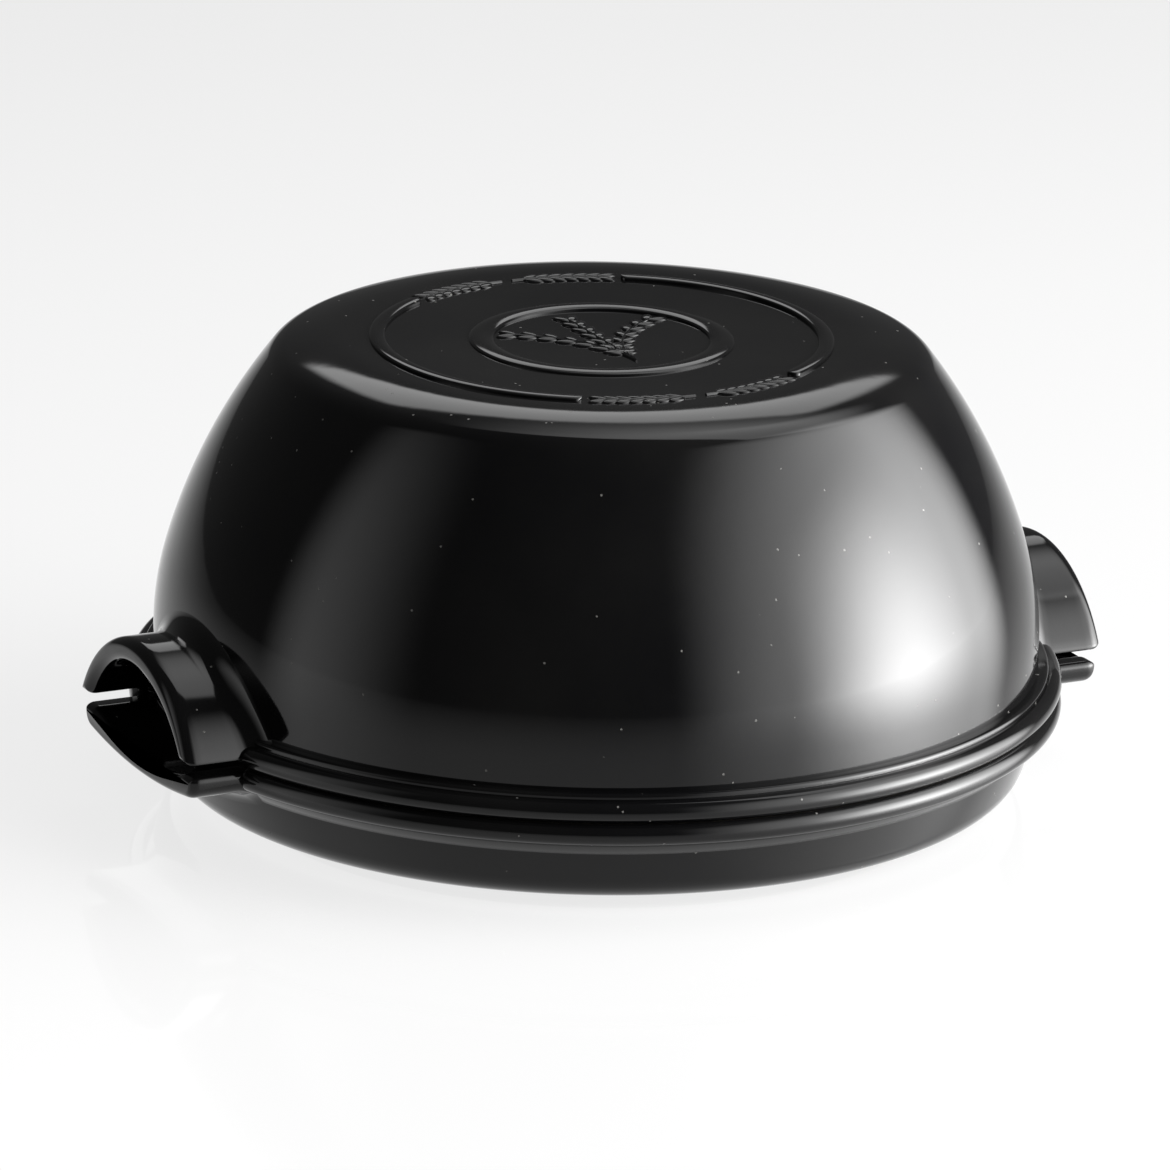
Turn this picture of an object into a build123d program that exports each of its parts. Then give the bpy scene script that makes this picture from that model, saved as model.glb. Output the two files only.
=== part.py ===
from build123d import *
import math
import os

os.makedirs("parts", exist_ok=True)

# A glazed ceramic bread cloche: a tall dome lid on a shallow ribbed dish.
# Sizes are in millimetres. The lugs lie along X and the foot ring stands on Z = 0.

# The seat where the lid meets the dish
seam_height = 34.0
overall_height = 152.3

# Dome of the lid
dome_radius = 147.0
dome_wall = 7.0
upright_height = 18.0        # straight wall above the seam, before the dome leans in
shoulder_radius = 99.0       # tighter curve where the lean starts
shoulder_turn = 16.0         # degrees
side_radius = 194.0          # flatter curve up to the top
top_edge_radius = 11.5
top_dish = 2.0               # how far the middle of the flat top lies below its edge
inner_corner_radius = 14.0

# Ledge and half-round bead round the rim of the lid, both broken at the lugs
ledge_width = 3.5
ledge_height = 9.2
ledge_bevel = 1.2
ledge_stop = 16.4            # degrees either side of a lug where the ledges end
ledge_end_radius = 2.4
ledge_root = 3.0             # how deep the ledges reach into the wall
lid_bead_radius = 3.6
bead_proud = 4.5             # how far both beads stand out from the ledge

# Relief rings on the flat top
outer_ring_inset = 29.8      # from the edge of the top
outer_ring_width = 4.2
outer_ring_height = 1.3
outer_ring_arc = 119.0       # degrees in each half, so two gaps stay open
inner_ring_radius = 39.7
inner_ring_width = 7.4
inner_ring_height = 1.0
relief_sink = 1.5            # how deep a relief ring is rooted in the wall

# Arched lugs of the lid
lug_proud = 17.0             # how far a lug stands out beyond the ledge
arch_half_width = 45.0
arch_crown = 32.0            # top of the arch above the seam
arch_crown_wall = 8.5
arch_foot_wall = 7.2
arch_foot_gap = 2.8          # from the seam up to its feet
arch_foot_radius = 1.5
arch_edge_radius = 3.2       # round the whole of the end

# Drooping lugs of the dish
jaw_short = 2.0              # how much shorter they are than the lid's lugs
jaw_half_width = 44.5
jaw_foot_gap = 1.3           # from the seam down to its feet
jaw_foot_wall = 7.0
jaw_side = 7.2               # height of their upright ends
jaw_drop = 11.4              # underside below the feet
jaw_valley = 6.2             # hollow for the fingers
jaw_corner_radius = 6.0
jaw_foot_radius = 1.5
jaw_valley_radius = 4.0
jaw_edge_radius = 1.8        # round the whole of the end

# Wall, rim and bead of the dish
foot_height = 3.8
base_inset = 6.0             # how far the underside draws in from the lid's wall
base_corner_radius = 11.0
rim_height = 8.0
rim_slope = 6.5              # height of the slope from the wall out to the ledge
rim_step = 1.0               # how far the rim of the dish stands out from the lid's wall
dish_bead_radius = 3.9
bead_stop = 15.9             # degrees either side of a lug where the beads end
bead_end_share = 0.9         # rounding of a bead's ends, as a share of its radius
base_floor = 7.2
floor_inset = 9.0            # how far the floor's edge lies inside the base radius
floor_corner_radius = 10.0

# Lip that keeps the lid in the middle
lip_clearance = 1.2
lip_width = 5.0
lip_height = 5.0
lip_edge_radius = 1.6

# Foot ring, bare of glaze, and ribs on the baking floor
foot_inset = 23.0            # how far the foot ring stands in from the base radius
foot_width = 6.5
foot_edge_radius = 1.2
rib_width = 6.0
rib_height = 2.2
rib_sink = 1.0
rib_first_radius = 28.0
rib_margin = 32.0            # from the last ring of ribs to the floor's edge
rib_rings = 4
rib_breaks = 4               # each ring is broken, so that air runs between the ribs
rib_arc = 66.0               # degrees
rib_stagger = 45.0           # degrees from one ring's breaks to the next one's

rounding_share = 0.8         # share of the height of a rib or relief ring that its round edges take

# Sizes that follow from these
ledge_radius = dome_radius + ledge_width
lug_reach = ledge_radius + lug_proud
base_radius = dome_radius - base_inset
inner_floor_radius = base_radius - floor_inset
foot_radius = base_radius - foot_inset
rib_pitch = (inner_floor_radius - rib_margin - rib_first_radius) / (rib_rings - 1)
rim_radius = ledge_radius + bead_proud
inner_radius = dome_radius - dome_wall
shoulder_foot = seam_height + upright_height
shoulder_top = shoulder_foot + shoulder_radius * math.sin(math.radians(shoulder_turn))
side_centre = shoulder_top - side_radius * math.sin(math.radians(shoulder_turn))
floor_top = foot_height + base_floor
lip_outer = inner_radius - lip_clearance
jaw_reach = lug_reach - jaw_short
lug_root = math.sqrt(inner_radius**2 - arch_half_width**2)
dish_rim_radius = dome_radius + rim_step
rim_foot = seam_height - rim_height
bead_arc = 180.0 - 2 * bead_stop
ledge_arc = 180.0 - 2 * ledge_stop
ledge_top = seam_height + ledge_height


def dome_side(foot_z, top_z, inset):
    """Draw the side of the dome from foot_z up to top_z, set in from the outside by inset."""
    turn = math.degrees(math.asin((top_z - side_centre) / (side_radius - inset))) - shoulder_turn
    upright = Line((dome_radius - inset, foot_z), (dome_radius - inset, shoulder_foot))
    shoulder = JernArc(upright @ 1, upright % 1, shoulder_radius - inset, shoulder_turn)
    arc = JernArc(shoulder @ 1, shoulder % 1, side_radius - inset, turn, mode=Mode.PRIVATE)
    return Spline(arc @ 0, arc @ 0.5, arc @ 1, tangents=(arc % 0, arc % 1))


# The edge of the flat top, before it is rounded, carries the outer ring
with BuildLine():
    top_radius = (dome_side(seam_height, overall_height, 0) @ 1).X
outer_ring_radius = top_radius - outer_ring_inset


def top_height(radius):
    """Height of the dished top at a radius, where the rings stand."""
    return overall_height - top_dish * (1 - (radius / top_radius) ** 2)


def raised_band(radius, base_z, width, height, sink, arc=360):
    """A low raised band with rounded edges, centred on +X and rooted in the face below it."""
    with BuildPart() as band:
        with BuildSketch(Plane.XZ.rotated((0, 0, -arc / 2))) as band_end:
            with Locations((radius, base_z - sink)):
                Rectangle(width, height + sink, align=(Align.CENTER, Align.MIN))
            fillet(band_end.vertices().group_by(Axis.Y)[-1], radius=height * rounding_share)
        revolve(band_end.sketch, axis=Axis.Z, revolution_arc=arc)
    return band.part


def half_bead(radius, height):
    """Half of a bead round the rim, with rounded ends that stop clear of the lugs."""
    with BuildPart() as bead:
        with BuildSketch(Plane.XZ.rotated((0, 0, bead_stop))) as bead_end:
            with Locations((rim_radius - radius, height)):
                Circle(radius)
        revolve(bead_end.sketch, axis=Axis.Z, revolution_arc=bead_arc)
        ends = bead.faces().filter_by(GeomType.PLANE)
        fillet(ends.edges(), radius=radius * bead_end_share)
    return bead.part


def half_ledge(outline):
    """Half of a ledge round the rim from its outline, with its two ends rounded."""
    with BuildPart() as ledge:
        with BuildSketch(Plane.XZ.rotated((0, 0, ledge_stop))) as ledge_end:
            with BuildLine():
                Polyline(*outline, close=True)
            make_face()
        revolve(ledge_end.sketch, axis=Axis.Z, revolution_arc=ledge_arc)
        upright = ledge.edges().filter_by(Axis.Z).sort_by(lambda edge: edge.center().length)
        fillet(upright[-2:], radius=ledge_end_radius)
    return ledge.part


lid_bead = half_bead(lid_bead_radius, seam_height + lid_bead_radius)
dish_bead = half_bead(dish_bead_radius, seam_height - dish_bead_radius)

ledge_foot_radius = dome_radius - ledge_root
lid_ledge = half_ledge((
    (ledge_foot_radius, seam_height),
    (ledge_radius, seam_height),
    (ledge_radius, ledge_top - ledge_bevel),
    (ledge_radius - ledge_bevel, ledge_top),
    (ledge_foot_radius, ledge_top),
))
dish_ledge = half_ledge((
    (ledge_foot_radius, rim_foot - rim_slope),
    (dish_rim_radius, rim_foot - rim_slope / 2),
    (ledge_radius, rim_foot),
    (ledge_radius, seam_height),
    (ledge_foot_radius, seam_height),
))

# One arched lug, as a strap that runs out from the dome and ends in a rounded edge
with BuildPart() as lid_lug:
    with BuildSketch(Plane.YZ.offset(lug_reach)):
        foot_z = seam_height + arch_foot_gap
        crown_z = seam_height + arch_crown
        inner_half = arch_half_width - arch_foot_wall
        with BuildLine():
            near_foot = (-arch_half_width, foot_z)
            far_foot = (arch_half_width, foot_z)
            outside = ThreePointArc(near_foot, (0, crown_z), far_foot)
            hollow_z = crown_z - arch_crown_wall
            inside = ThreePointArc((inner_half, foot_z), (0, hollow_z), (-inner_half, foot_z))
            Line(outside @ 1, inside @ 0)
            Line(inside @ 1, outside @ 0)
        make_face()
    extrude(amount=lug_root - lug_reach)
    long_edges = lid_lug.edges().filter_by(Axis.X).sort_by(Axis.Y)
    fillet([long_edges[0], long_edges[-1]], radius=arch_foot_radius)
    fillet(lid_lug.faces().sort_by(Axis.X)[-1].edges(), radius=arch_edge_radius)

# One drooping lug of the dish, hollowed on top for the fingers
with BuildPart() as dish_lug:
    with BuildSketch(Plane.YZ.offset(jaw_reach)) as dish_lug_end:
        top_z = seam_height - jaw_foot_gap
        side_z = top_z - jaw_side
        valley_half = jaw_half_width - jaw_foot_wall
        with BuildLine():
            under_z = top_z - jaw_drop
            under = ThreePointArc((-jaw_half_width, side_z), (0, under_z), (jaw_half_width, side_z))
            valley_z = top_z - jaw_valley
            valley = ThreePointArc((valley_half, top_z), (0, valley_z), (-valley_half, top_z))
            Polyline(under @ 1, (jaw_half_width, top_z), valley @ 0)
            Polyline(valley @ 1, (-jaw_half_width, top_z), under @ 0)
        make_face()
        fillet(dish_lug_end.vertices().group_by(Axis.Y)[0], radius=jaw_corner_radius)
        top_points = dish_lug_end.vertices().group_by(Axis.Y)[-1].sort_by(Axis.X)
        fillet([top_points[0], top_points[-1]], radius=jaw_foot_radius)
        fillet(top_points[1:-1], radius=jaw_valley_radius)
    extrude(amount=lip_outer - jaw_reach)
    fillet(dish_lug.faces().sort_by(Axis.X)[-1].edges(), radius=jaw_edge_radius)

# Relief rings of the flat top: a broken outer one and a closed inner one
outer_ring = raised_band(
    radius=outer_ring_radius,
    base_z=top_height(outer_ring_radius),
    width=outer_ring_width,
    height=outer_ring_height,
    sink=relief_sink,
    arc=outer_ring_arc,
)
inner_ring = raised_band(
    radius=inner_ring_radius,
    base_z=top_height(inner_ring_radius),
    width=inner_ring_width,
    height=inner_ring_height,
    sink=relief_sink,
)

# The lid: dome, ledge, bead, lugs and relief rings in one piece
with BuildPart() as lid:
    with BuildSketch(Plane.XZ) as outside_section:
        middle_z = overall_height - top_dish
        with BuildLine():
            side = dome_side(seam_height, overall_height, 0)
            corner = side @ 1
            Spline(corner, (0, middle_z), tangents=((-corner.X, -2 * top_dish), (-1, 0)))
            Polyline((0, middle_z), (0, seam_height), (dome_radius, seam_height))
        make_face()
        fillet(outside_section.vertices().group_by(Axis.Y)[-1], radius=top_edge_radius)
    revolve(axis=Axis.Z)
    with PolarLocations(0, 2):
        add(lid_ledge)
        add(lid_bead)
        add(lid_lug.part)
    with BuildSketch(Plane.XZ) as cavity_section:
        with BuildLine():
            side = dome_side(seam_height, middle_z - dome_wall, dome_wall)
            Polyline(side @ 1, (0, (side @ 1).Y), (0, seam_height), (inner_radius, seam_height))
        make_face()
        cavity_corner = cavity_section.vertices().group_by(Axis.Y)[-1].sort_by(Axis.X)[-1]
        fillet(cavity_corner, radius=inner_corner_radius)
    revolve(axis=Axis.Z, mode=Mode.SUBTRACT)
    with PolarLocations(0, 2):
        add(outer_ring)
    add(inner_ring)
lid.part.label = "dome_lid"
export_step(lid.part, "parts/dome_lid.step")

# The dish: foot ring, wall, bead, lugs, locating lip and ribs in one piece
with BuildPart() as dish:
    with BuildSketch(Plane.XZ) as dish_section:
        foot_inside = foot_radius - foot_width
        lip_inside = lip_outer - lip_width
        lip_top = seam_height + lip_height
        with BuildLine():
            Polyline((0, foot_height), (foot_inside, foot_height), (foot_inside, 0), (foot_radius, 0))
            Polyline((foot_radius, 0), (foot_radius, foot_height), (base_radius, foot_height))
            Polyline((base_radius, foot_height), (dish_rim_radius, rim_foot), (dish_rim_radius, seam_height))
            Polyline((dish_rim_radius, seam_height), (lip_outer, seam_height), (lip_outer, lip_top))
            Polyline((lip_outer, lip_top), (lip_inside, lip_top), (inner_floor_radius, floor_top))
            Polyline((inner_floor_radius, floor_top), (0, floor_top), (0, foot_height))
        make_face()
        base_corner = dish_section.vertices().sort_by_distance((base_radius, foot_height))[0]
        fillet(base_corner, radius=base_corner_radius)
        floor_corner = dish_section.vertices().sort_by_distance((inner_floor_radius, floor_top))[0]
        fillet(floor_corner, radius=floor_corner_radius)
        fillet(dish_section.vertices().group_by(Axis.Y)[0], radius=foot_edge_radius)
        fillet(dish_section.vertices().group_by(Axis.Y)[-1], radius=lip_edge_radius)
    revolve(axis=Axis.Z)
    with PolarLocations(0, 2):
        add(dish_ledge)
        add(dish_bead)
        add(dish_lug.part)
    for ring in range(rib_rings):
        radius = rib_first_radius + ring * rib_pitch
        rib = raised_band(radius, floor_top, rib_width, rib_height, rib_sink, rib_arc)
        with PolarLocations(0, rib_breaks, start_angle=ring * rib_stagger):
            add(rib)
dish.part.label = "base_dish"
export_step(dish.part, "parts/base_dish.step")
print("volumes in cubic centimetres", lid.part.volume / 1000, dish.part.volume / 1000)
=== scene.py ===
# %% [markdown]
# # A glazed bread cloche
# A bread cloche is two castings of black glazed stoneware: a tall dome lid and a shallow
# ribbed dish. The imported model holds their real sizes, so it is loaded first, and every
# piece below is modelled over it, in metres and in the same place.

# %% Load the frame
import math

import bmesh
import bpy
from mathutils import Matrix, Vector


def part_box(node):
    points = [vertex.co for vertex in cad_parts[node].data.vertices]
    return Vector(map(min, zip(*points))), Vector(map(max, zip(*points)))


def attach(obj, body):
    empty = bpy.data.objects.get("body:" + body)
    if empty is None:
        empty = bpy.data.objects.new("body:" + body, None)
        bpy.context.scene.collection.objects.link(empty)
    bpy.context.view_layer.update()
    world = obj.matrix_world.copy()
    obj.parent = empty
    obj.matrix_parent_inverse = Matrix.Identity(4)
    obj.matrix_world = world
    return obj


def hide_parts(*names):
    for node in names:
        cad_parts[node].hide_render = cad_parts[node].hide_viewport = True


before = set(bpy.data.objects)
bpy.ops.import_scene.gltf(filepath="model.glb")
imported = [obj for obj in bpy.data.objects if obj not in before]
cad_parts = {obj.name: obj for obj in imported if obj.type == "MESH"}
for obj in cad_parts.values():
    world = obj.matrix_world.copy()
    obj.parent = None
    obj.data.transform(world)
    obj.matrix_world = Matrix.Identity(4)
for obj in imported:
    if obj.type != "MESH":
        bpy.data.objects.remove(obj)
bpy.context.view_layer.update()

MM = 0.001
lid_low, lid_high = (Vector(corner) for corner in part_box("dome_lid"))
dish_low, dish_high = (Vector(corner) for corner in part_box("base_dish"))
print("lid", lid_low[:], lid_high[:])
print("dish", dish_low[:], dish_high[:])

# %% [markdown]
# ## The camera
# A product photograph like this one is taken from far off with a long lens, so that upright
# walls stay upright. The camera looks down by about 17 degrees, and the lugs are turned a
# little over a quarter of a right angle from the picture's plane. It is placed before anything
# is built, because all later work is judged through it.

# %% Place the camera
AIM = Vector((0, 0, 61.2 * MM))
DISTANCE = 3263 * MM
LENS = 302.6                       # millimetres, on a full-frame sensor
SENSOR_WIDTH = 36
FARTHEST_SEEN = 50                 # metres
LOOK_DOWN = math.radians(17.25)
TURN = math.radians(25.8)
TILT = math.radians(1.07)
SLIDE = (-4.0 * MM, 4.6 * MM)      # the object sits a little right of and below the middle


def make_camera():
    """A long lens, turned and tilted as the photograph is."""
    right = Vector((math.cos(TURN), -math.sin(TURN), 0))
    ahead = Vector((
        math.sin(TURN) * math.cos(LOOK_DOWN),
        math.cos(TURN) * math.cos(LOOK_DOWN),
        -math.sin(LOOK_DOWN),
    ))
    up = right.cross(ahead)
    x_axis = right * math.cos(TILT) + up * math.sin(TILT)
    y_axis = up * math.cos(TILT) - right * math.sin(TILT)
    axes = Matrix((x_axis, y_axis, -ahead)).transposed()
    camera = bpy.data.objects.new("camera", bpy.data.cameras.new("camera"))
    bpy.context.collection.objects.link(camera)
    place = AIM - ahead * DISTANCE + right * SLIDE[0] + up * SLIDE[1]
    camera.matrix_world = Matrix.Translation(place) @ axes.to_4x4()
    camera.data.lens = LENS
    camera.data.sensor_width = SENSOR_WIDTH
    camera.data.clip_end = FARTHEST_SEEN
    return camera


bpy.context.scene.camera = make_camera()
print("camera at", bpy.context.scene.camera.matrix_world.translation[:])

# %% [markdown]
# ## Wiring nodes by writing sums
# The shapes and the glaze both come from node trees. Wiring them by hand is slow to read, so
# a small class wraps a socket: writing `a * 2 + b` adds the Math nodes. Every other node goes
# through one method that sets its options first and then its sockets.


# %% A socket that answers to plus, minus and times
class Wire:
    """An output socket of a node tree, for sums written the usual way."""

    def __init__(self, board, socket):
        self.board = board
        self.socket = socket

    def sum(self, operation, *others):
        return self.board.node("ShaderNodeMath", {"operation": operation}, [self, *others])

    def __add__(self, other):
        return self.sum("ADD", other)

    def __radd__(self, other):
        return self.sum("ADD", other)

    def __sub__(self, other):
        return self.sum("SUBTRACT", other)

    def __rsub__(self, other):
        return self.board.node("ShaderNodeMath", {"operation": "SUBTRACT"}, [other, self])

    def __mul__(self, other):
        return self.sum("MULTIPLY", other)

    def __rmul__(self, other):
        return self.sum("MULTIPLY", other)

    def __truediv__(self, other):
        return self.sum("DIVIDE", other)

    def __lt__(self, other):
        return self.sum("LESS_THAN", other)

    def __gt__(self, other):
        return self.sum("GREATER_THAN", other)


class Board:
    """A node tree that is being wired."""

    def __init__(self, tree):
        self.tree = tree

    def node(self, kind, settings=None, sockets=(), out=0):
        """Add a node, set its options, then its sockets by number or name; give one output."""
        made = self.tree.nodes.new(kind)
        for name, value in (settings or {}).items():
            setattr(made, name, value)
        pairs = sockets.items() if isinstance(sockets, dict) else enumerate(sockets)
        for place, value in pairs:
            if value is None:
                continue
            target = made.inputs[place]
            if isinstance(value, Wire):
                self.tree.links.new(value.socket, target)
            else:
                target.default_value = value
        return Wire(self, made.outputs[out]) if made.outputs else made


# %% [markdown]
# ## Turned and swept forms
# A potter's mould is turned, so the dome and the dish are one outline carried round an axis.
# The rims, rings and ribs are a small outline carried part of the way round, with rounded
# ends. Screw modifiers could turn the outline, but they can't round an end, so two Geometry
# Nodes trees do it: each lays a grid, reads the outline at every column of it, and turns the
# column to its place.


# %% Outlines with rounded corners
def rounded(corners, steps=6):
    """Points of an outline from (across, up, rounding) corners, each rounding a true arc."""
    points = []
    for index, (across, up, radius) in enumerate(corners):
        here = Vector((across, up))
        if not radius:
            points.append(here)
            continue
        before = (Vector(corners[index - 1][:2]) - here).normalized()
        after = (Vector(corners[(index + 1) % len(corners)][:2]) - here).normalized()
        half = before.angle(after) / 2
        centre = here + (before + after).normalized() * radius / math.sin(half)
        start = here + before * radius / math.tan(half) - centre
        end = here + after * radius / math.tan(half) - centre
        turn = math.atan2(start.cross(end), start.dot(end))
        for step in range(steps + 1):
            spoke = Matrix.Rotation(turn * step / steps, 2) @ start
            points.append(centre + spoke)
    return points


def arc(centre, radius, start, end, steps):
    """Points along an arc from one angle to another."""
    angles = [start + (end - start) * step / steps for step in range(steps + 1)]
    return [
        Vector((centre[0] + radius * math.cos(angle), centre[1] + radius * math.sin(angle)))
        for angle in angles
    ]


def line_object(name, points):
    """Points in millimetres as a line of edges, ready for a tree."""
    mesh = bpy.data.meshes.new(name)
    edges = [(index, index + 1) for index in range(len(points) - 1)]
    mesh.from_pydata([Vector(point) * MM for point in points], edges, [])
    piece = bpy.data.objects.new(name, mesh)
    bpy.context.collection.objects.link(piece)
    return piece


def outline(points, closed=False):
    """An outline of (across, up) points, upright in the XZ plane."""
    if closed:
        points = [*points, points[0]]
    return line_object("outline", [(point[0], 0, point[1]) for point in points])


# %% Start a tree with named inputs
def start_tree(name, inputs):
    """An empty tree with a geometry input and output, and the named inputs."""
    tree = bpy.data.node_groups.new(name, "GeometryNodeTree")
    tree.interface.new_socket("Outline", in_out="INPUT", socket_type="NodeSocketGeometry")
    for label, kind in inputs.items():
        tree.interface.new_socket(label, in_out="INPUT", socket_type="NodeSocket" + kind)
    tree.interface.new_socket("Form", in_out="OUTPUT", socket_type="NodeSocketGeometry")
    board = Board(tree)
    entry = tree.nodes.new("NodeGroupInput")
    wires = {socket.name: Wire(board, socket) for socket in entry.outputs if socket.name}
    return board, wires


def end_tree(board, form, finish):
    """Close a tree: instances become real, and the material goes on."""
    form = board.node("GeometryNodeRealizeInstances", {}, [form])
    form = board.node("GeometryNodeSetMaterial", {}, {"Geometry": form, "Material": finish})
    exit_node = board.tree.nodes.new("NodeGroupOutput")
    board.tree.links.new(form.socket, exit_node.inputs[0])
    return board.tree


def columns(board, wires, last_station):
    """A grid whose columns are copies of the outline, with each column's and row's number."""
    count = board.node("GeometryNodeAttributeDomainSize", {}, [wires["Outline"]])
    grid = board.node(
        "GeometryNodeMeshGrid", {}, {"Vertices X": last_station + 1, "Vertices Y": count}
    )
    index = board.node("GeometryNodeInputIndex")
    station = (index / count).sum("FLOOR")
    spot = index - station * count
    position = board.node("GeometryNodeInputPosition")
    sample = board.node(
        "GeometryNodeSampleIndex",
        {"data_type": "FLOAT_VECTOR", "domain": "POINT"},
        {"Geometry": wires["Outline"], "Value": position, "Index": spot},
    )
    return grid, station, sample


def turned(board, vector, angle):
    """A point turned about the upright axis."""
    return board.node(
        "ShaderNodeVectorRotate",
        {"rotation_type": "Z_AXIS"},
        {"Vector": vector, "Angle": angle},
    )


# %% The tree for a form turned all the way round
def make_turning_tree():
    """An outline carried once round the axis."""
    board, wires = start_tree("turned_form", {"Stations": "Int", "Finish": "Material"})
    grid, station, sample = columns(board, wires, wires["Stations"])
    angle = station / wires["Stations"] * math.tau
    form = board.node(
        "GeometryNodeSetPosition",
        {},
        {"Geometry": grid, "Position": turned(board, sample, angle)},
    )
    return end_tree(board, form, wires["Finish"])


# %% The tree for a ridge carried part of the way, with rounded ends, and repeated
def make_ridge_tree():
    """An outline carried along an arc, drawn in to its root at both ends, in several copies."""
    inputs = {
        "Stations": "Int",
        "End stations": "Int",
        "Start": "Float",
        "Sweep": "Float",
        "End length": "Float",
        "Path radius": "Float",
        "Root": "Vector",
        "Draw in": "Vector",
        "Copies": "Int",
        "Finish": "Material",
    }
    board, wires = start_tree("ridge_with_rounded_ends", inputs)
    stations, end_stations = wires["Stations"], wires["End stations"]
    end_length = wires["End length"]
    grid, station, sample = columns(board, wires, stations)
    from_end = station.sum("MINIMUM", stations - station)
    quarter = (from_end / end_stations).sum("MINIMUM", 1) * (math.pi / 2)
    length = wires["Path radius"] * wires["Sweep"]
    stride = (length - end_length * 2) / (stations - end_stations * 2)
    beyond = (from_end - end_stations).sum("MAXIMUM", 0) * stride
    travelled = end_length * (1 - quarter.sum("COSINE")) + beyond
    far_half = station * 2 > stations
    path = travelled + far_half * (length - travelled * 2)
    angle = wires["Start"] + path / wires["Path radius"]
    fullness = quarter.sum("SINE")
    from_root = board.node(
        "ShaderNodeVectorMath", {"operation": "SUBTRACT"}, [sample, wires["Root"]]
    )
    loss = board.node(
        "ShaderNodeVectorMath",
        {"operation": "SCALE"},
        {"Vector": wires["Draw in"], "Scale": 1 - fullness},
    )
    lost = board.node("ShaderNodeVectorMath", {"operation": "MULTIPLY"}, [from_root, loss])
    drawn = board.node("ShaderNodeVectorMath", {"operation": "SUBTRACT"}, [sample, lost])
    ridge = board.node(
        "GeometryNodeSetPosition",
        {},
        {"Geometry": grid, "Position": turned(board, drawn, angle)},
    )
    copies = wires["Copies"]
    places = board.node("GeometryNodePoints", {}, {"Count": copies})
    number = board.node("GeometryNodeInputIndex")
    turn = board.node("ShaderNodeCombineXYZ", {}, {"Z": number / copies * math.tau})
    turn = board.node("FunctionNodeEulerToRotation", {}, [turn])
    form = board.node(
        "GeometryNodeInstanceOnPoints", {}, {"Points": places, "Instance": ridge, "Rotation": turn}
    )
    return end_tree(board, form, wires["Finish"])


TURNING = make_turning_tree()
RIDGE = make_ridge_tree()
print("trees:", TURNING.name, RIDGE.name)


# %% Run a tree and keep its result as a plain mesh
def set_inputs(modifier, values):
    """Set a modifier's inputs by their sockets' identifiers."""
    for item in modifier.node_group.interface.items_tree:
        if item.in_out == "INPUT" and item.name in values:
            modifier[item.identifier] = values[item.name]


def clean(piece, sharp=40):
    """Merge doubles, close open ends, turn faces outward and shade smooth up to an angle."""
    solid = bmesh.new()
    solid.from_mesh(piece.data)
    bmesh.ops.remove_doubles(solid, verts=solid.verts, dist=0.002 * MM)
    open_edges = [edge for edge in solid.edges if edge.is_boundary]
    if open_edges:
        bmesh.ops.holes_fill(solid, edges=open_edges)
    bmesh.ops.recalc_face_normals(solid, faces=solid.faces)
    loose = sum(1 for edge in solid.edges if not edge.is_manifold)
    solid.to_mesh(piece.data)
    volume = solid.calc_volume() / MM ** 3 / 1000
    solid.free()
    piece.data.shade_smooth()
    piece.data.set_sharp_from_angle(angle=math.radians(sharp))
    print(f"{piece.name}: {len(piece.data.polygons)} faces, {volume:.1f} cm3, {loose} open edges")
    return piece


def grown(name, source, tree, values):
    """Run a tree on an outline, and give the plain mesh that comes out."""
    modifier = source.modifiers.new("form", "NODES")
    modifier.node_group = tree
    set_inputs(modifier, values)
    result = source.evaluated_get(bpy.context.evaluated_depsgraph_get())
    mesh = bpy.data.meshes.new_from_object(result)
    mesh.name = name
    piece = bpy.data.objects.new(name, mesh)
    bpy.context.collection.objects.link(piece)
    bpy.data.objects.remove(source)
    return clean(piece)


# %% [markdown]
# ## The glaze
# Black stoneware glaze is glass over a dark body: nearly black, with a sharp gloss. Up close
# it isn't even. It has a faint orange-peel swell from the firing, pinhole specks, and a
# slightly duller bloom in patches. Where the casting stands on its foot ring or its seat, the
# glaze is wiped off before firing and the pale clay shows. One material holds all of it, read
# from Object coordinates so that it stays put when the lid is lifted.

# %% Make the glaze
GLAZE_BLACK = (0.0022, 0.0022, 0.0024, 1)
GLAZE_BLOOM = (0.0046, 0.0045, 0.0044, 1)
SPECK_GREY = (0.11, 0.108, 0.102, 1)
BARE_CLAY = (0.36, 0.31, 0.25, 1)
CLAY_GRIT = (0.24, 0.2, 0.155, 1)
GLAZE_GLOSS = 0.22                 # level of the mirror-like part of the glaze
GLAZE_ROUGHNESS = 0.055
BLOOM_ROUGHNESS = 0.03             # added where the glaze is duller
SPECK_ROUGHNESS = 0.3              # added on a speck
CLAY_ROUGHNESS = 0.85
SPECK_SIZE = 0.085                 # as a share of a cell of the pattern
SPECK_RARITY = 0.56                # the higher, the fewer
RELIEF = (0.35, 0.35 * MM)         # strength and depth of the swell and the peel


def blend_colour(board, share, first, second):
    """Mix two colours by a share."""
    return board.node(
        "ShaderNodeMix", {"data_type": "RGBA"}, {0: share, 6: first, 7: second}, out=2
    )


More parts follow.
